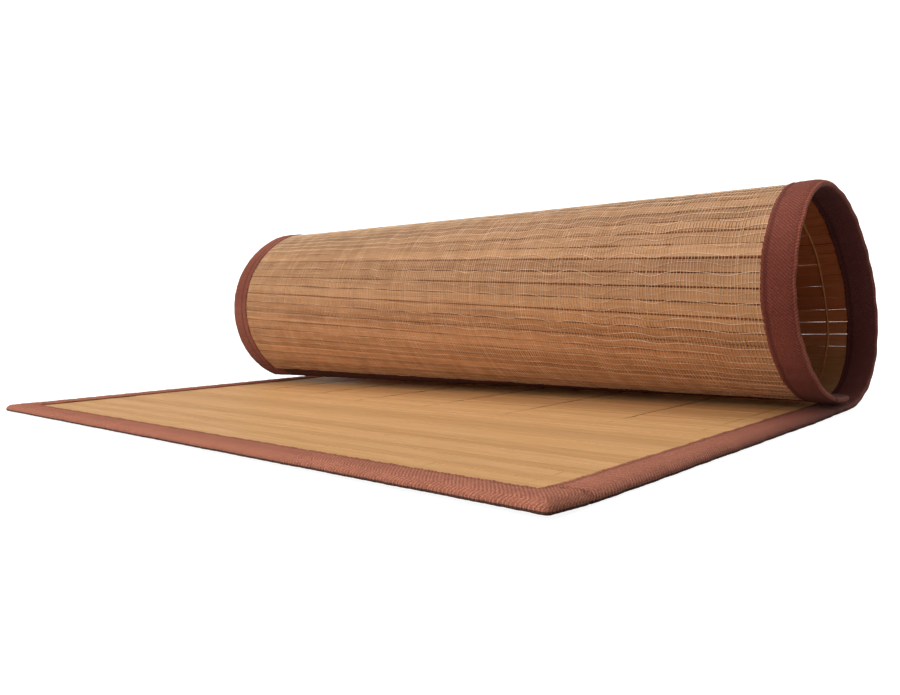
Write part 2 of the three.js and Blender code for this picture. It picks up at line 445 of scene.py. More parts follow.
def smooth_face_color(tree, patches, streaks, dashes, distance):
    """Golden bamboo with pale and dark dashes, with a painted shade that makes it redder and darker
    inside the roll.
    """
    color = mix_colors(tree, patches, *SMOOTH_FACE)
    color = add_streaks(tree, color, streaks, *DARK_STREAKS)
    color = add_streaks(tree, color, dashes, *PALE_DASHES)
    color = add_streaks(tree, color, dashes, *DARK_DASHES)
    rolled = ramp_between(tree, distance, PAINTED_ROLL_SHADE_FROM, PAINTED_ROLL_SHADE_TO)
    return multiply_colors(tree, color, mix_colors(tree, rolled, WHITE, SMOOTH_PAINTED_SHADE_IN_ROLL))


def backed_face_color(tree, patches, streaks, distance):
    """Browner bamboo with long dark streaks, and painted light that makes it a little darker before the
    free end and lighter near it.
    """
    color = mix_colors(tree, patches, *BACKED_FACE)
    color = add_streaks(tree, color, streaks, *BACKED_STREAKS)
    painted_light_near_free_end = ramp_between(tree, distance, FREE_END_PAINTED_LIGHT_FROM, FREE_END_PAINTED_LIGHT_TO)
    return multiply_colors(tree, color, mix_colors(tree, painted_light_near_free_end, *FREE_END_PAINTED_LIGHT))


def bamboo_material():
    material, tree, shader = new_material("bamboo")
    flat = attribute_node(tree, "flat").outputs["Vector"]
    tone = attribute_node(tree, "tone").outputs["Fac"]
    place = add_node(tree, "ShaderNodeSeparateXYZ", {0: flat})
    distance = place.outputs["Y"]
    backed = ramp_between(tree, place.outputs["Z"], -FACE_BLEND, FACE_BLEND)
    shift = calculate(tree, "MULTIPLY", tone, GRAIN_SHIFT)
    fibres, dashes, streaks, patches = (
        scaled_noise(tree, flat, *noise, shift) for noise in (FIBRES, DASHES, STREAKS, PATCHES)
    )
    smooth_face = smooth_face_color(tree, patches, streaks, dashes, distance)
    backed_face = backed_face_color(tree, patches, streaks, distance)
    color = mix_colors(tree, backed, smooth_face, backed_face)
    grain = mix_colors(tree, ramp_between(tree, fibres, *NOISE_RANGE), *FIBRE_SHADES)
    color = multiply_colors(tree, color, grain)
    dull_slat = mix_colors(tree, backed, *DULL_SLAT_SHADES)
    per_slat = mix_colors(tree, tone, dull_slat, BRIGHT_SLAT_SHADE)
    color = multiply_colors(tree, color, per_slat)
    tree.links.new(color, shader.inputs["Base Color"])
    tree.links.new(ramp_between(tree, fibres, **FIBRE_ROUGHNESS), shader.inputs["Roughness"])
    shader.inputs["Specular IOR Level"].default_value = 0.22
    add_bump(tree, shader, fibres, strength=0.25, distance=0.15 * MM)
    return material


# Gauze net glued to the backed side: fine threads along the mat and wavy ones across it

NET_SEED = 23
NET_SIDES = 3

WARP_PITCH = 1.22 * MM
WARP_RADIUS = 0.17 * MM
WARP_OFFSET = SLAT_OFFSET + 0.14 * MM
WARP_JITTER = 0.16 * MM
WARP_WAVES = (150 * MM, 37 * MM)
WARP_FLAT_STEP = 26 * MM
WARP_STATIONS_PER_SLAT = 2
WARP_TONES = (0.2, 0.8)
WARP_LEFT_SHARE = 0.25
WARP_DARK_TO = -140 * MM
WARP_PALE_FROM = 40 * MM

WEFT_PITCH = 3.4 * MM
WEFT_RADIUS = 0.15 * MM
WEFT_OFFSET = SLAT_OFFSET + 0.17 * MM
WEFT_STATIONS = 150
WEFT_SHARED_WAVES = (140 * MM, 55 * MM, 26 * MM)
WEFT_SHARED_HEIGHT = 0.5 * MM
WEFT_OWN_WAVES = (90 * MM, 31 * MM, 13 * MM)
WEFT_OWN_HEIGHT = 0.25 * MM
WEFT_TONES = (0.25, 0.95)
WEFT_DARKENING = 0.65

# Dips that all cross threads share on the front of the roll. A row gives, in millimetres, the place
# from the left edge, the half width and the depth. They start at one distance from the front edge,
# are deepest at the next and end at the last.
WEFT_DIPS = [
    (96, 6, 0.8),
    (131, 7, 1.0),
    (158, 6, 0.9),
    (189, 5, 1.6),
    (212, 6, 1.4),
    (234, 5, 2.0),
    (257, 6, 2.4),
    (279, 6, 1.9),
    (308, 5, 1.0),
]
DIPS_FROM = 300 * MM
DIPS_MOST = 365 * MM
DIPS_TO = 425 * MM

# Colours and noise of the net's threads
COTTON = (rgb(0.63, 0.39, 0.21), rgb(0.90, 0.67, 0.48))
COTTON_SHADES = (rgb(0.8, 0.76, 0.72), rgb(1.05, 1.05, 1.05))
COTTON_BLOTCHES = ((120, 120, 120), 2.0)
COTTON_TWIST = ((3500, 3500, 3500), 1.0)


def thread_tube(x, s, o, radius, sides, across):
    """Places of the sides of threads; x, s and o have a row for each thread."""
    angles = math.pi / 2 + np.arange(sides) * 2 * math.pi / sides
    radius = np.broadcast_to(radius, x.shape)[..., None]
    sideways = radius * np.cos(angles)
    outward = radius * np.sin(angles)
    x, s, o = x[..., None], s[..., None], o[..., None] + outward
    if across:
        s = s - sideways
    else:
        x = x + sideways
    return np.broadcast_arrays(x, s, o)


def build_threads(name, middles, radius, sides, across, material, tone):
    """Threads round their middle lines, each of x, s and o, along the mat or across it."""
    x, s, o = thread_tube(*middles, radius, sides, across)
    count, stations = tone.shape
    faces = tube_faces(count, stations, sides)
    tones = np.broadcast_to(tone[..., None], x.shape)
    return make_piece(
        name, mat_points(x, s, o), faces, material,
        {"flat": np.stack([x, s, o], -1)}, {"tone": tones}, NO_SHARP_EDGES,
    )


def build_warp(material):
    rng = np.random.default_rng(NET_SEED)
    count = int((2 * PANEL_END) / WARP_PITCH)
    roll_stations = WARP_STATIONS_PER_SLAT * (SLAT_COUNT - FLAT_SLATS)
    flat_part = np.arange(EDGE_MARGIN, FLAT_END, WARP_FLAT_STEP)
    distances = np.concatenate([flat_part, np.linspace(FLAT_END, LENGTH - EDGE_MARGIN, roll_stations)])
    middle = (np.arange(count) - (count - 1) / 2) * WARP_PITCH
    drift = smooth_waves(distances, rng, WARP_WAVES, count) * WARP_JITTER
    x = middle[:, None] + rng.uniform(-1, 1, (count, 1)) * WARP_JITTER + drift
    x = np.clip(x, -PANEL_END, PANEL_END)
    s = np.broadcast_to(distances, x.shape)
    o = np.full(x.shape, WARP_OFFSET)
    pale = WARP_LEFT_SHARE + (1 - WARP_LEFT_SHARE) * smooth_step(middle, WARP_DARK_TO, WARP_PALE_FROM)
    tone = np.broadcast_to((rng.uniform(*WARP_TONES, count) * pale)[:, None], x.shape)
    return build_threads("net_warp", (x, s, o), WARP_RADIUS, NET_SIDES, False, material, tone)


def weft_dip(x, s):
    """How far the cross threads of the net are pushed along the mat, at x from the left edge."""
    dip = np.zeros(np.broadcast_shapes(x.shape, s.shape))
    for place, half_width, depth in WEFT_DIPS:
        dip = dip + depth * MM * np.exp(-(((x - place * MM) / (half_width * MM)) ** 2))
    rise = smooth_step(s, DIPS_FROM, DIPS_MOST) * (1 - smooth_step(s, DIPS_MOST, DIPS_TO))
    return dip * rise


def build_weft(material):
    rng = np.random.default_rng(NET_SEED + 1)
    count = int((LENGTH - 2 * EDGE_MARGIN) / WEFT_PITCH)
    x = np.linspace(-PANEL_END, PANEL_END, WEFT_STATIONS)
    rows = EDGE_MARGIN + WEFT_PITCH * (np.arange(count) + 0.5)
    shared = smooth_waves(x, rng, WEFT_SHARED_WAVES, 1) * WEFT_SHARED_HEIGHT
    own = smooth_waves(x, rng, WEFT_OWN_WAVES, count) * WEFT_OWN_HEIGHT
    s = rows[:, None] + shared + own + weft_dip(x[None, :] + WIDTH / 2, rows[:, None])
    s = np.clip(s, EDGE_MARGIN, LENGTH - EDGE_MARGIN)
    x = np.broadcast_to(x, s.shape)
    o = np.full(s.shape, WEFT_OFFSET)
    pale = 1 - WEFT_DARKENING * smooth_step(rows, DIPS_MOST, DIPS_TO)
    tone = np.broadcast_to((rng.uniform(*WEFT_TONES, count) * pale)[:, None], s.shape)
    return build_threads("net_weft", (x, s, o), WEFT_RADIUS, NET_SIDES, True, material, tone)


def thread_material():
    material, tree, shader = new_material("cotton_thread")
    tone = attribute_node(tree, "tone").outputs["Fac"]
    flat = attribute_node(tree, "flat").outputs["Vector"]
    color = mix_colors(tree, tone, *COTTON)
    blotches = ramp_between(tree, scaled_noise(tree, flat, *COTTON_BLOTCHES), *NOISE_RANGE)
    shade = mix_colors(tree, blotches, *COTTON_SHADES)
    tree.links.new(multiply_colors(tree, color, shade), shader.inputs["Base Color"])
    shader.inputs["Roughness"].default_value = 0.75
    add_bump(tree, shader, scaled_noise(tree, flat, *COTTON_TWIST), strength=0.3, distance=0.05 * MM)
    return material


# Stitch rows along the mat, on both faces: a thread pressed into the slats that dips a little at
# every joint. It lies deeper near the front edge, and it is thicker on the smooth face in the roll.
# Each row lists its place from the left edge and how dark its thread gets on the flat part near the
# roll, a painted shade, from 0 for the colour of the bamboo to 1 for dark thread.

STITCH_ROWS = [
    {"x": 18 * MM, "dark": 0.3},
    {"x": 52 * MM, "dark": 0.5},
    {"x": 97 * MM, "dark": 0.8},
    {"x": 142 * MM, "dark": 1.0},
    {"x": 187 * MM, "dark": 1.0},
    {"x": 232 * MM, "dark": 1.0},
    {"x": 277 * MM, "dark": 1.0},
    {"x": 311 * MM, "dark": 0.2},
]
STITCH_SEED = 31
STITCH_RADIUS = 0.17 * MM
STITCH_RADIUS_IN_ROLL = 0.45 * MM
STITCH_SIDES = 5
STITCH_WAVES = (160 * MM, 40 * MM)
STITCH_DRIFT = 0.35 * MM
STITCH_DIP = 0.03 * MM
STITCH_DIP_POWER = 4
STITCH_SINK = 0.14 * MM
STITCH_STEPS = 8
STITCH_FULL_IN_ROLL = FLAT_END + 3 * SLAT_PITCH
STITCH_PAINTED_SHADE_FROM = 80 * MM
STITCH_PAINTED_SHADE_TO = 150 * MM

# Tones of the sewing thread, from 0 for dark, with their colours, and its noise; the dark tone near the
# roll is painted shade
BAMBOO_TONE = 0.5
GOLDEN_TONE = 1.0
DARK_THREAD = rgb(0.23, 0.070, 0.024)
BAMBOO_THREAD = rgb(0.60, 0.34, 0.125)
GOLDEN_THREAD = rgb(0.74, 0.33, 0.11)
THREAD_SHADES = (rgb(0.7, 0.66, 0.62), rgb(1.15, 1.12, 1.1))
THREAD_NOISE = ((900, 350, 900), 2.0)


def build_stitches(material):
    rng = np.random.default_rng(STITCH_SEED)
    distances = np.linspace(EDGE_MARGIN, LENGTH - EDGE_MARGIN, SLAT_COUNT * STITCH_STEPS + 1)
    distances = distances[STITCH_STEPS:-STITCH_STEPS]
    place = np.arange(distances.size) % STITCH_STEPS / STITCH_STEPS
    dip = np.abs(np.cos(math.pi * place)) ** STITCH_DIP_POWER
    drift = smooth_waves(distances, rng, STITCH_WAVES, len(STITCH_ROWS)) * STITCH_DRIFT
    x = np.array([row["x"] for row in STITCH_ROWS])[:, None] - WIDTH / 2 + drift
    s = np.broadcast_to(distances, x.shape)
    # Painted shade: the thread on the smooth face gets darker towards the roll
    near_roll = smooth_step(distances, STITCH_PAINTED_SHADE_FROM, STITCH_PAINTED_SHADE_TO)
    sunk = STITCH_SINK * (1 - near_roll)
    height = np.broadcast_to(SLAT_OFFSET - STITCH_DIP * dip - sunk, x.shape)
    dark = np.array([row["dark"] for row in STITCH_ROWS])[:, None] * near_roll
    rolled = smooth_step(distances, FLAT_END, STITCH_FULL_IN_ROLL)
    smooth_tone = BAMBOO_TONE * (1 - dark) * (1 - rolled) + GOLDEN_TONE * rolled
    backed_tone = np.full(x.shape, BAMBOO_TONE)
    radius = STITCH_RADIUS + (STITCH_RADIUS_IN_ROLL - STITCH_RADIUS) * rolled
    return [
        build_threads(name, (x, s, o), thickness, STITCH_SIDES, False, material, tone)
        for name, o, thickness, tone in (
            ("stitch_rows_smooth", -height, -radius, smooth_tone),
            ("stitch_rows_backed", height, STITCH_RADIUS, backed_tone),
        )
    ]


def stitch_material():
    material, tree, shader = new_material("sewing_thread")
    tone = attribute_node(tree, "tone").outputs["Fac"]
    flat = attribute_node(tree, "flat").outputs["Vector"]
    from_dark = ramp_between(tree, tone, 0.0, BAMBOO_TONE)
    to_golden = ramp_between(tree, tone, BAMBOO_TONE, GOLDEN_TONE)
    color = mix_colors(tree, from_dark, DARK_THREAD, BAMBOO_THREAD)
    color = mix_colors(tree, to_golden, color, GOLDEN_THREAD)
    uneven = scaled_noise(tree, flat, *THREAD_NOISE)
    shade = mix_colors(tree, uneven, *THREAD_SHADES)
    tree.links.new(multiply_colors(tree, color, shade), shader.inputs["Base Color"])
    shader.inputs["Roughness"].default_value = 0.7
    add_bump(tree, shader, uneven, strength=0.3, distance=0.08 * MM)
    return material


# Folded herringbone tape round the edges, as closed shells on a lattice of cells

TAPE_SEED = 43
LATTICE_STEP = 0.65 * MM
FOLD_LINES = np.array([0, 0.12, 0.3, 0.6, 1.0, 1.5]) * MM
LAYER_SIDES = np.array([-1, -1, 1, 1])
SIDE_TAPE_GAP = 0.05 * MM
THINNEST_LEG = 0.2 * MM
TINY = 1e-9

# The tape's section: round at the fold, thinner behind it and at the free edge
FOLD_ROUND = 3.2 * MM
RIM_HALF = 0.3 * MM
LEG_DROP = 0.12 * MM
LEG_DROP_TO = 8 * MM
EDGE_DROP = 0.3 * MM
EDGE_ROUND = 0.9 * MM
DROOP = 0.6 * MM
DROOP_LESS_FROM = FLAT_END - 8 * SLAT_PITCH

# The weave: slanted ribs of a few yarns each, which turn back at a line, and yarns that cross them
RIB_PITCH = 1.15 * MM
RIB_SLOPE = 0.9
YARNS_PER_RIB = 3
CROSS_PITCH = 0.9 * MM
BAND_LINE = 1.3 * MM
LUMP_HEIGHT = 0.045 * MM

# The sewn line, counted from the tape's free edge
SEAM_DEPTH = 0.28 * MM
SEAM_HALF_WIDTH = 0.5 * MM
SEAM_LEFT_INSET = 4.2 * MM
SEAM_INSET = 1.6 * MM

# How the tape is uneven: its outline, the swellings along it and its corners
OUTLINE_WAVES = (41 * MM, 17 * MM, 7 * MM)
FREE_EDGE_WAVES = (53 * MM, 19 * MM)
OUTLINE_WOBBLE = 0.25 * MM
SCALLOP = 0.12 * MM
WOBBLE_REACH = 3 * MM
PUCKER_WAVES = (11 * MM, 6 * MM)
PUCKER_HEIGHT = 0.09 * MM
SWELL_RISE = 2 * MM
CORNER_ROUND = 1.6 * MM
CORNER_WOBBLE_SHARE = 0.6
CORNER_SWELL = 0.12 * MM
CORNER_SWELL_FROM = -1 * MM
CORNER_SWELL_TO = 2 * MM
CREASE_WAVES_ALONG = (5 * MM, 2.9 * MM)
CREASE_WAVES_INWARD = (11 * MM, 4.3 * MM)
CREASE_HEIGHT = 0.2 * MM

# Colours of the tape: lighter and paler at the front and at the left edge, which is painted light and
# sheen
PLAIN_TAPE = (rgb(0.175, 0.046, 0.031), rgb(0.245, 0.068, 0.047))
PAINTED_LIGHT_TAPE = (rgb(0.34, 0.120, 0.072), rgb(0.46, 0.170, 0.106))
PAINTED_LIGHT_TO = 30 * MM
LEFT_PAINTED_LIGHT = 0.4
LEFT_PAINTED_LIGHT_REACH = 4 * MM
MOTTLE = ((60, 60, 60), 3.0)

# Shades of the weave, and how much each part of it stands out
RIB_SHADES = (rgb(0.80, 0.74, 0.72), rgb(1.21, 1.28, 1.31))
YARN_SHADES = (rgb(0.74, 0.70, 0.68), rgb(1.26, 1.30, 1.30))
YARN_RANGE = (-0.6, 0.8)
FUZZ_SHADES = (rgb(0.72, 0.70, 0.70), rgb(1.30, 1.32, 1.32))
FUZZ = ((2600, 2600, 2600), 2.0)
FAINT_RIBS = ((800, 800, 0), 2.0)
RIB_CLEARNESS = {"low": 0.35, "high": 0.6, "to_low": 0.35, "to_high": 1.0}
RIB_RELIEF, YARN_RELIEF, FUZZ_RELIEF = 0.3, 0.4, 0.8

# Painted light and shade on the tape: a cooler painted shade on the smooth face in the roll, darker on a
# stretch of the roll, a painted shadow in the middle of the free end, a painted highlight on the rim of
# the roll, and a painted shade below on the flat part's rim
ROLL_BLEND = 4 * SLAT_PITCH
SIDE_BLEND = 0.3
# Painted shade: the tape's smooth face is cooler and darker in the roll
IN_ROLL_PAINTED_SHADE = rgb(0.80, 0.88, 1.08)
DARKER_FROM, DARKEST_FROM = 350 * MM, 368 * MM
DARKEST_TO, DARKER_TO = 384 * MM, 398 * MM
DARKER_SHADE = rgb(0.78, 0.70, 0.68)
# Painted shadow on the middle of the free end, in the dark gap under the roll
FREE_END_SHADOW_FROM, FREE_END_SHADOW_FULL_FROM = LENGTH - 20 * MM, LENGTH - 12 * MM
FREE_END_SHADOW_FULL_HALF, FREE_END_SHADOW_HALF = 140 * MM, 150 * MM
FREE_END_PAINTED_SHADOW = rgb(0.35, 0.30, 0.30)
RIM_REACH, RIM_FULL = 0.9 * MM, 0.1 * MM
# Painted highlight on the rim of the tape in the roll, where the fold catches light
ROLLED_RIM_PAINTED_HIGHLIGHT = rgb(2.3, 2.5, 2.2)
# Painted shade on the lower side of the flat part's rim
LOWER_RIM_PAINTED_SHADE = rgb(0.25, 0.3, 0.35)
LOWER_FROM, LOWER_FULL = -0.2, 0.6
# Painted shade in the groove of the sewn line
SEAM_PAINTED_SHADE = rgb(0.25, 0.2, 0.2)
SEAM_STRENGTH = 0.6


def even_lines(start, end):
    return np.linspace(start, end, max(2, int(round(abs(end - start) / LATTICE_STEP)) + 1))


def lines_inward(reach):
    """Lines from a folded edge inwards, close together round the fold."""
    return np.concatenate([FOLD_LINES, even_lines(FOLD_LINES[-1], reach)[1:]])


def lattice_faces(filled):
    """Faces between filled and empty cells, as corner numbers of the whole lattice."""
    lines = [size + 1 for size in filled.shape]
    numbers = np.arange(np.prod(lines)).reshape(lines)
    padded = np.pad(filled, 1)
    faces = []
    for axis in range(3):
        first, second = (axis + 1) % 3, (axis + 2) % 3
        for end in (0, 1):
            beyond = np.roll(padded, 1 if end == 0 else -1, axis)[1:-1, 1:-1, 1:-1]
            cells = np.argwhere(filled & ~beyond)
            cells[:, axis] += end
            ring = [(0, 0), (1, 0), (1, 1), (0, 1)]
            ring = ring if end == 0 else ring[::-1]
            corners = []
            for along_first, along_second in ring:
                corner = cells.copy()
                corner[:, first] += along_first
                corner[:, second] += along_second
                corners.append(numbers[tuple(corner.T)])
            faces.append(np.stack(corners, -1))
    return np.concatenate(faces)


def herringbone(along, depth):
    """Place within the pattern of slanted ribs, which turn back at a line near the fold."""
    return (along + RIB_SLOPE * np.abs(depth - BAND_LINE)) / RIB_PITCH


def tape_height(along, depth, inner, seam_inset):
    """Half thickness of the folded tape: rounded at the fold and at its free edge, with ribs."""
    fold = np.clip(1 - depth / FOLD_ROUND, 0, 1)
    rounded = np.sqrt(1 - fold**2)
    body = TAPE_OUTER_OFFSET - LEG_DROP * smooth_step(depth, FOLD_ROUND, LEG_DROP_TO)
    height = RIM_HALF + (body - RIM_HALF) * rounded
    height -= EDGE_DROP * np.clip(1 - inner / EDGE_ROUND, 0, 1) ** 2
    lumps = LUMP_HEIGHT * np.sin(math.pi * herringbone(along, depth)) * rounded
    seam = SEAM_DEPTH * np.exp(-(((inner - seam_inset) / SEAM_HALF_WIDTH) ** 2))
    return height + lumps - seam


def build_tape(name, node, lines, filled, along, depth, inner, seam, swell, material):
    """A tape from its lattice; along, depth and inner say where each line crossing is on the tape."""
    outer = tape_height(along, depth, inner, seam) + swell
    inside = np.minimum(TAPE_INNER_OFFSET, outer - THINNEST_LEG)
    x, s = lines
    flatness = 1 - smooth_step(s, DROOP_LESS_FROM, FLAT_END)
    droop = DROOP * flatness * np.clip(1 - depth / FOLD_ROUND, 0, 1) ** 2
    o = np.stack([-outer, -inside, inside, outer], -1) + droop[..., None]
    seam_mark = np.exp(-(((inner - seam) / SEAM_HALF_WIDTH) ** 2))
    x, s, along, depth, seam_mark, side, o = np.broadcast_arrays(
        *(values[..., None] for values in (x, s, along, depth, seam_mark)), LAYER_SIDES, o
    )
    faces = lattice_faces(filled)
    used, renumbered = np.unique(faces, return_inverse=True)
    points = mat_points(x, s, o).reshape(-1, 3)[used]
    flat = np.stack([x, s, o], -1).reshape(-1, 3)[used]
    weave = np.stack([along, depth, side], -1).reshape(-1, 3)[used]
    piece = make_piece(
        name, points, renumbered.reshape(faces.shape).tolist(), material,
        {"weave": weave, "flat": flat}, {"seam": seam_mark.reshape(-1)[used]}, NO_SHARP_EDGES,
    )
    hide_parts(node)
    return piece


def puckers(places, rng):
    """Small swellings along a tape, where the thread that holds it pulls it in."""
    return smooth_waves(places, rng, PUCKER_WAVES, 1)[0] * PUCKER_HEIGHT


def round_corners(edge, inward):
    """Distances from the two edges at a corner, with the square corner turned into a round one."""
    from_edge = np.maximum(CORNER_ROUND - edge, 0)
    from_end = np.maximum(CORNER_ROUND - inward, 0)
    reach = np.hypot(from_edge, from_end)
    shrink = np.where(reach > 0, np.maximum(from_edge, from_end) / np.maximum(reach, TINY), 1)
    return edge + from_edge * (1 - shrink), inward + from_end * (1 - shrink)


def wobble_lines(places, depth, inner, rng):
    """How far the folded edge and the free edge of a tape stand out of line, for each crossing.

    The places along the tape are a column or a row of the lattice.
    """
    outline, free = (
        smooth_waves(places.ravel(), rng, waves, 1).reshape(places.shape) * OUTLINE_WOBBLE
        for waves in (OUTLINE_WAVES, FREE_EDGE_WAVES)
    )
    free = free + SCALLOP * np.sin(math.pi * places / RIB_PITCH)
    near_fold, near_free_edge = (np.clip(1 - values / WOBBLE_REACH, 0, 1) for values in (depth, inner))
    return outline * near_fold - free * near_free_edge


def end_tape_cells(x, inward):
    """Which cells an end tape fills: the two legs and the fold between them, and the corners."""
    cell_x = (x[1:] + x[:-1]) / 2
    cell_in = (inward[1:] + inward[:-1]) / 2
    corner_cell = ((cell_x < LEFT_TAPE_LINE) | (cell_x > RIGHT_TAPE_LINE))[:, None]
    leg = corner_cell | (cell_in < END_TAPE_REACH)[None, :]
    cell_edge = (WIDTH / 2 - np.abs(cell_x))[:, None]
    fold = leg & (np.minimum(cell_in[None, :], cell_edge) < TAPE_THICKNESS)
    return np.stack([leg, fold, leg], -1)


def end_tape_inner(ins, in_corner, to_line):
    """Distances from the free edge of an end tape, which turns outwards at each corner."""
    past_line = np.maximum(to_line, 0)
    beside = END_TAPE_REACH - ins
    in_leg = np.hypot(past_line, beside)
    below = np.minimum(past_line, CORNER_REACH - ins)
    inner = np.where(in_corner, np.where(ins < END_TAPE_REACH, in_leg, below), beside)
    return np.maximum(inner, 0)


def build_end_tape(name, node, from_front, material):
    """Tape of the front or back edge, with the two corners that it wraps."""
    rng = np.random.default_rng(TAPE_SEED if from_front else TAPE_SEED + 1)
    x = np.concatenate([
        -WIDTH / 2 + lines_inward(LEFT_TAPE_REACH),
        even_lines(LEFT_TAPE_LINE, RIGHT_TAPE_LINE)[1:-1],
        (WIDTH / 2 - lines_inward(RIGHT_TAPE_REACH))[::-1],
    ])
    inward = np.concatenate([lines_inward(END_TAPE_REACH), even_lines(END_TAPE_REACH, CORNER_REACH)[1:]])
    xs, ins = np.meshgrid(x, inward, indexing="ij")
    edge = WIDTH / 2 - np.abs(xs)
    depth = np.minimum(ins, edge)
    along = xs + np.sign(xs) * np.maximum(ins - edge, 0)
    in_corner = (xs <= LEFT_TAPE_LINE + TINY) | (xs >= RIGHT_TAPE_LINE - TINY)
    to_line = np.where(xs < 0, LEFT_TAPE_LINE - xs, xs - RIGHT_TAPE_LINE)
    inner = end_tape_inner(ins, in_corner, to_line)
    creases = smooth_waves(x, rng, CREASE_WAVES_ALONG, 1)[0][:, None]
    creases = creases * smooth_waves(inward, rng, CREASE_WAVES_INWARD, 1)[0][None, :]
    swell = CORNER_SWELL + CREASE_HEIGHT * creases
    swell = swell * smooth_step(to_line, CORNER_SWELL_FROM, CORNER_SWELL_TO)
    swell = (swell + puckers(x, rng)[:, None]) * smooth_step(depth, 0, SWELL_RISE)
    wobble = wobble_lines(x[:, None], ins, inner, rng)
    ins = ins + wobble * np.where(in_corner, CORNER_WOBBLE_SHARE, 1)
    edge, ins = round_corners(edge, ins)
    xs = np.sign(xs) * (WIDTH / 2 - edge)
    lattice = (xs, ins if from_front else LENGTH - ins, along, depth, inner, swell)
    filled = end_tape_cells(x, inward)
    if not from_front:
        lattice = (values[:, ::-1] for values in lattice)
        filled = filled[:, ::-1]
    xs, s, along, depth, inner, swell = lattice
    return build_tape(name, node, (xs, s), filled, along, depth, inner, SEAM_INSET, swell, material)


def build_side_tape(name, node, reach, sign, seam, material):
    """Tape of the left or right edge, between the corners."""
    rng = np.random.default_rng(TAPE_SEED + 2 + sign)
    inward = lines_inward(reach)
    start = CORNER_REACH + SIDE_TAPE_GAP
    s = even_lines(start, LENGTH - start)
    depth, ss = np.meshgrid(inward, s, indexing="ij")
    inner = reach - depth
    wobble = wobble_lines(s[None, :], depth, inner, rng)
    x = sign * (WIDTH / 2 - (depth + wobble))
    leg = np.ones((inward.size - 1, s.size - 1), bool)
    fold = leg & (inward[:-1] < TAPE_THICKNESS)[:, None]
    filled = np.stack([leg, fold, leg], -1)
    if sign > 0:
        x, depth, inner, ss = (values[::-1] for values in (x, depth, inner, ss))
        filled = filled[::-1]
    swell = puckers(s, rng)[None, :] * smooth_step(depth, 0, SWELL_RISE)
    return build_tape(name, node, (x, ss), filled, ss, depth, inner, seam, swell, material)


def wave_node(tree, place, turns):
    """A sine of the place, with so many whole waves for each unit of it."""
    return calculate(tree, "SINE", calculate(tree, "MULTIPLY", place, 2 * math.pi * turns))


def woven_relief(tree, weave, along, depth):
    """The slanted ribs, faint in places, and the finer crossings of single yarns."""
    folded = calculate(tree, "ABSOLUTE", calculate(tree, "SUBTRACT", depth, BAND_LINE))
    slant = calculate(tree, "MULTIPLY", folded, RIB_SLOPE)
    rib_place = calculate(tree, "DIVIDE", calculate(tree, "ADD", along, slant), RIB_PITCH)
    cross_place = calculate(tree, "DIVIDE", calculate(tree, "SUBTRACT", along, slant), CROSS_PITCH)
    clearness = ramp_between(tree, scaled_noise(tree, weave, *FAINT_RIBS), **RIB_CLEARNESS)
    ribs = calculate(tree, "MULTIPLY", wave_node(tree, rib_place, 1), clearness)
    yarns = wave_node(tree, rib_place, YARNS_PER_RIB)
    return ribs, calculate(tree, "MULTIPLY", yarns, wave_node(tree, cross_place, 1))


def painted_light_share(tree, across, distance):
    """How much painted light and sheen the tape gets: most at the front, less towards the roll, and some
    at the left.
    """
    front = ramp_between(tree, distance, PAINTED_LIGHT_TO, FLAT_END, 1.0, 0.0)
    left = ramp_between(
        tree, across, LEFT_TAPE_LINE + LEFT_PAINTED_LIGHT_REACH, LEFT_TAPE_LINE, 0.0, LEFT_PAINTED_LIGHT
    )
    return calculate(tree, "MAXIMUM", front, left)


def tape_painted_shades(tree, across, distance, depth, side):
    """Places of another shade, most of them painted light and shade, each with what its colour is
    multiplied by there.
    """
    rolled = ramp_between(tree, distance, FLAT_END - ROLL_BLEND, FLAT_END + ROLL_BLEND)
    not_rolled = calculate(tree, "SUBTRACT", 1.0, rolled)
    on_smooth_face = ramp_between(tree, side, SIDE_BLEND, -SIDE_BLEND)
    underneath = ramp_between(tree, side, LOWER_FROM, LOWER_FULL)
    rim = ramp_between(tree, depth, RIM_REACH, RIM_FULL)
    flat_rim = calculate(tree, "MULTIPLY", rim, not_rolled)
    darker_from = ramp_between(tree, distance, DARKER_FROM, DARKEST_FROM)
    darker_to = ramp_between(tree, distance, DARKER_TO, DARKEST_TO)
    middle_part = ramp_between(tree, calculate(tree, "ABSOLUTE", across), FREE_END_SHADOW_HALF, FREE_END_SHADOW_FULL_HALF)
    free_end = ramp_between(tree, distance, FREE_END_SHADOW_FROM, FREE_END_SHADOW_FULL_FROM)
    return [
        (calculate(tree, "MULTIPLY", on_smooth_face, rolled), IN_ROLL_PAINTED_SHADE),
        (calculate(tree, "MULTIPLY", darker_from, darker_to), DARKER_SHADE),
        (calculate(tree, "MULTIPLY", middle_part, free_end), FREE_END_PAINTED_SHADOW),
        (calculate(tree, "MULTIPLY", rim, rolled), ROLLED_RIM_PAINTED_HIGHLIGHT),
        (calculate(tree, "MULTIPLY", flat_rim, underneath), LOWER_RIM_PAINTED_SHADE),
    ]


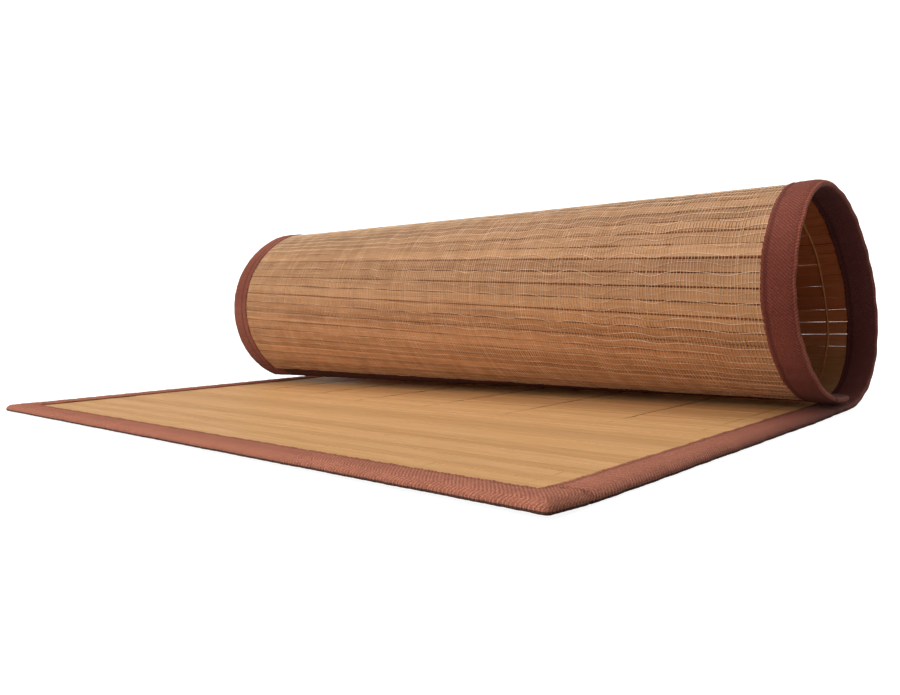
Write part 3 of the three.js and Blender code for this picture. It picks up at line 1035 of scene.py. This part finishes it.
def tape_material():
    material, tree, shader = new_material("herringbone_tape")
    weave = attribute_node(tree, "weave").outputs["Vector"]
    flat = attribute_node(tree, "flat").outputs["Vector"]
    seam = attribute_node(tree, "seam").outputs["Fac"]
    along, depth, side = add_node(tree, "ShaderNodeSeparateXYZ", {0: weave}).outputs
    across, distance = add_node(tree, "ShaderNodeSeparateXYZ", {0: flat}).outputs[:2]
    ribs, crossings = woven_relief(tree, weave, along, depth)
    mottle = scaled_noise(tree, flat, *MOTTLE)
    fuzz = scaled_noise(tree, flat, *FUZZ)

    # The tape's own colour, mixed towards painted light and sheen at the front and the left edge
    plain_tape = mix_colors(tree, mottle, *PLAIN_TAPE)
    lit_tape = mix_colors(tree, mottle, *PAINTED_LIGHT_TAPE)
    color = mix_colors(tree, painted_light_share(tree, across, distance), plain_tape, lit_tape)
    painted_shades = tape_painted_shades(tree, across, distance, depth, side)
    painted_shades.append((calculate(tree, "MULTIPLY", seam, SEAM_STRENGTH), SEAM_PAINTED_SHADE))
    shades = [
        (ramp_between(tree, ribs, -1.0, 1.0), *RIB_SHADES),
        (ramp_between(tree, crossings, *YARN_RANGE), *YARN_SHADES),
        (ramp_between(tree, fuzz, *NOISE_RANGE), *FUZZ_SHADES),
        *((share, WHITE, full) for share, full in painted_shades),
    ]
    for share, low, high in shades:
        color = multiply_colors(tree, color, mix_colors(tree, share, low, high))
    tree.links.new(color, shader.inputs["Base Color"])
    shader.inputs["Roughness"].default_value = 0.85
    shader.inputs["Specular IOR Level"].default_value = 0.12
    shader.inputs["Sheen Weight"].default_value = 0.05
    shader.inputs["Sheen Roughness"].default_value = 0.5
    shader.inputs["Sheen Tint"].default_value = rgb(1.0, 0.72, 0.6)
    height = calculate(tree, "MULTIPLY", ribs, RIB_RELIEF)
    for relief, share in ((crossings, YARN_RELIEF), (fuzz, FUZZ_RELIEF)):
        height = calculate(tree, "ADD", height, calculate(tree, "MULTIPLY", relief, share))
    add_bump(tree, shader, height, strength=0.6, distance=0.12 * MM)
    return material


# Floor, backdrop, lights and camera

FLOOR_HALF = 2.2
FLOOR_DROP = 0.2 * MM
FLOOR_GREY, FLOOR_GLOW = 0.22, 0.92
BACKDROP_DISTANCE = 1.6
BACKDROP_HALF = 2.4
BACKDROP_BOTTOM, BACKDROP_TOP = -0.01, 2.4
BACKDROP_GREY, BACKDROP_GLOW = 0.45, 1.0
SPECKLE_SCALE = 40.0
SPECKLE_LIGHTER = 1.02

# Area lights: size across and up, power in watts, place and the point that each faces
LIGHTS = [
    ("key_light", (0.9, 0.9), 8.5, (-0.3, -0.8, 0.85), (-0.05, 0.0, 0.02)),
    ("top_light", (1.0, 1.0), 8.6, (-0.05, 0.05, 1.2), (0.0, 0.0, 0.0)),
    ("low_light", (1.4, 0.5), 5.6, (-0.2, -1.2, 0.3), (0.0, 0.0, 0.03)),
    ("right_light", (0.7, 0.7), 0.5, (0.75, -0.75, 0.5), (0.0, 0.0, 0.03)),
    ("back_light", (0.9, 0.4), 4.0, (0.3, 1.1, 0.3), (0.05, 0.1, 0.03)),
]
WORLD_STRENGTH = 0.02

# The camera fitted to the photograph; its place is counted from the middle of the front edge
FOCAL_PIXELS = 764.6
PHOTO_WIDTH_PIXELS = 900
SENSOR_WIDTH_MM = 36
CAMERA_FROM_FRONT_EDGE = Vector((253.5, -118.3, 41.0)) * MM
CAMERA_YAW = math.radians(43.84)
CAMERA_PITCH = math.radians(2.56)
CAMERA_ROLL = math.radians(1.83)
NEAREST_SEEN = 0.01


def paper_material(name, grey, glow):
    material, tree, shader = new_material(name)
    place = add_node(tree, "ShaderNodeTexCoord").outputs["Object"]
    inputs = {"Vector": place, "Scale": SPECKLE_SCALE}
    speckle = add_node(tree, "ShaderNodeTexNoise", inputs).outputs["Fac"]
    darker, lighter = (rgb(value, value, value) for value in (grey, grey * SPECKLE_LIGHTER))
    tree.links.new(mix_colors(tree, speckle, darker, lighter), shader.inputs["Base Color"])
    shader.inputs["Roughness"].default_value = 0.9
    shader.inputs["Specular IOR Level"].default_value = 0.1
    shader.inputs["Emission Color"].default_value = WHITE
    shader.inputs["Emission Strength"].default_value = glow
    return material


def flat_plane(name, corners, material):
    mesh = bpy.data.meshes.new(name)
    mesh.from_pydata([tuple(corner) for corner in corners], [], [(0, 1, 2, 3)])
    mesh.materials.append(material)
    plane = bpy.data.objects.new(name, mesh)
    bpy.context.scene.collection.objects.link(plane)
    return plane


def build_stage():
    """Pale floor and backdrop; their own glow keeps them white and doesn't light the mat."""
    corners = [(-FLOOR_HALF, -FLOOR_HALF), (FLOOR_HALF, -FLOOR_HALF)]
    corners += [(FLOOR_HALF, FLOOR_HALF), (-FLOOR_HALF, FLOOR_HALF)]
    floor_paper = paper_material("floor_paper", FLOOR_GREY, FLOOR_GLOW)
    floor = flat_plane("floor", [(*corner, -FLOOR_DROP) for corner in corners], floor_paper)
    ahead = Vector((-math.sin(CAMERA_YAW), math.cos(CAMERA_YAW), 0))
    sideways = Vector((math.cos(CAMERA_YAW), math.sin(CAMERA_YAW), 0)) * BACKDROP_HALF
    left, right = ahead * BACKDROP_DISTANCE - sideways, ahead * BACKDROP_DISTANCE + sideways
    low, high = Vector((0, 0, BACKDROP_BOTTOM)), Vector((0, 0, BACKDROP_TOP))
    backdrop_paper = paper_material("backdrop_paper", BACKDROP_GREY, BACKDROP_GLOW)
    corners = [left + low, right + low, right + high, left + high]
    backdrop = flat_plane("backdrop", corners, backdrop_paper)
    lit_by_stage = bpy.data.collections.new("lit_by_stage")
    for plane in (floor, backdrop):
        lit_by_stage.objects.link(plane)
        plane.light_linking.receiver_collection = lit_by_stage


def build_lights():
    for name, size, power, place, target in LIGHTS:
        data = bpy.data.lights.new(name, "AREA")
        data.shape = "RECTANGLE"
        data.size, data.size_y = size
        data.energy = power
        light = bpy.data.objects.new(name, data)
        light.location = place
        light.rotation_euler = (Vector(target) - Vector(place)).to_track_quat("-Z", "Y").to_euler()
        bpy.context.scene.collection.objects.link(light)
    world = bpy.data.worlds.new("studio")
    world.use_nodes = True
    background = world.node_tree.nodes["Background"]
    background.inputs["Color"].default_value = WHITE
    background.inputs["Strength"].default_value = WORLD_STRENGTH
    bpy.context.scene.world = world
    bpy.context.scene.view_settings.view_transform = "Standard"


def build_camera():
    """The camera looks along its yaw, turned left from +Y, and down by its pitch."""
    sin_yaw, cos_yaw = math.sin(CAMERA_YAW), math.cos(CAMERA_YAW)
    level = math.cos(CAMERA_PITCH)
    ahead = Vector((-sin_yaw * level, cos_yaw * level, -math.sin(CAMERA_PITCH)))
    right = Vector((cos_yaw, sin_yaw, 0))
    down = ahead.cross(right)
    image_right = right * math.cos(CAMERA_ROLL) + down * math.sin(CAMERA_ROLL)
    image_down = down * math.cos(CAMERA_ROLL) - right * math.sin(CAMERA_ROLL)
    data = bpy.data.cameras.new("photo_camera")
    data.sensor_width = SENSOR_WIDTH_MM
    data.lens = FOCAL_PIXELS / PHOTO_WIDTH_PIXELS * SENSOR_WIDTH_MM
    data.clip_start = NEAREST_SEEN
    camera = bpy.data.objects.new("photo_camera", data)
    rotation = Matrix((image_right, -image_down, -ahead)).transposed().to_4x4()
    place = Vector((0, FRONT_EDGE_Y, 0)) + CAMERA_FROM_FRONT_EDGE
    camera.matrix_world = Matrix.Translation(place) @ rotation
    bpy.context.scene.collection.objects.link(camera)
    bpy.context.scene.camera = camera


# Assembly

build_camera()
build_stage()
build_lights()

bamboo = bamboo_material()
cotton = thread_material()
sewing = stitch_material()
rust_tape = tape_material()

slats = build_slats(bamboo)
threads = [build_warp(cotton), build_weft(cotton), *build_stitches(sewing)]
tapes = [
    build_end_tape("front_tape", "front_binding", True, rust_tape),
    build_end_tape("back_tape", "back_binding", False, rust_tape),
    build_side_tape("left_tape", "left_binding", LEFT_TAPE_REACH, -1, SEAM_LEFT_INSET, rust_tape),
    build_side_tape("right_tape", "right_binding", RIGHT_TAPE_REACH, 1, SEAM_INSET, rust_tape),
]
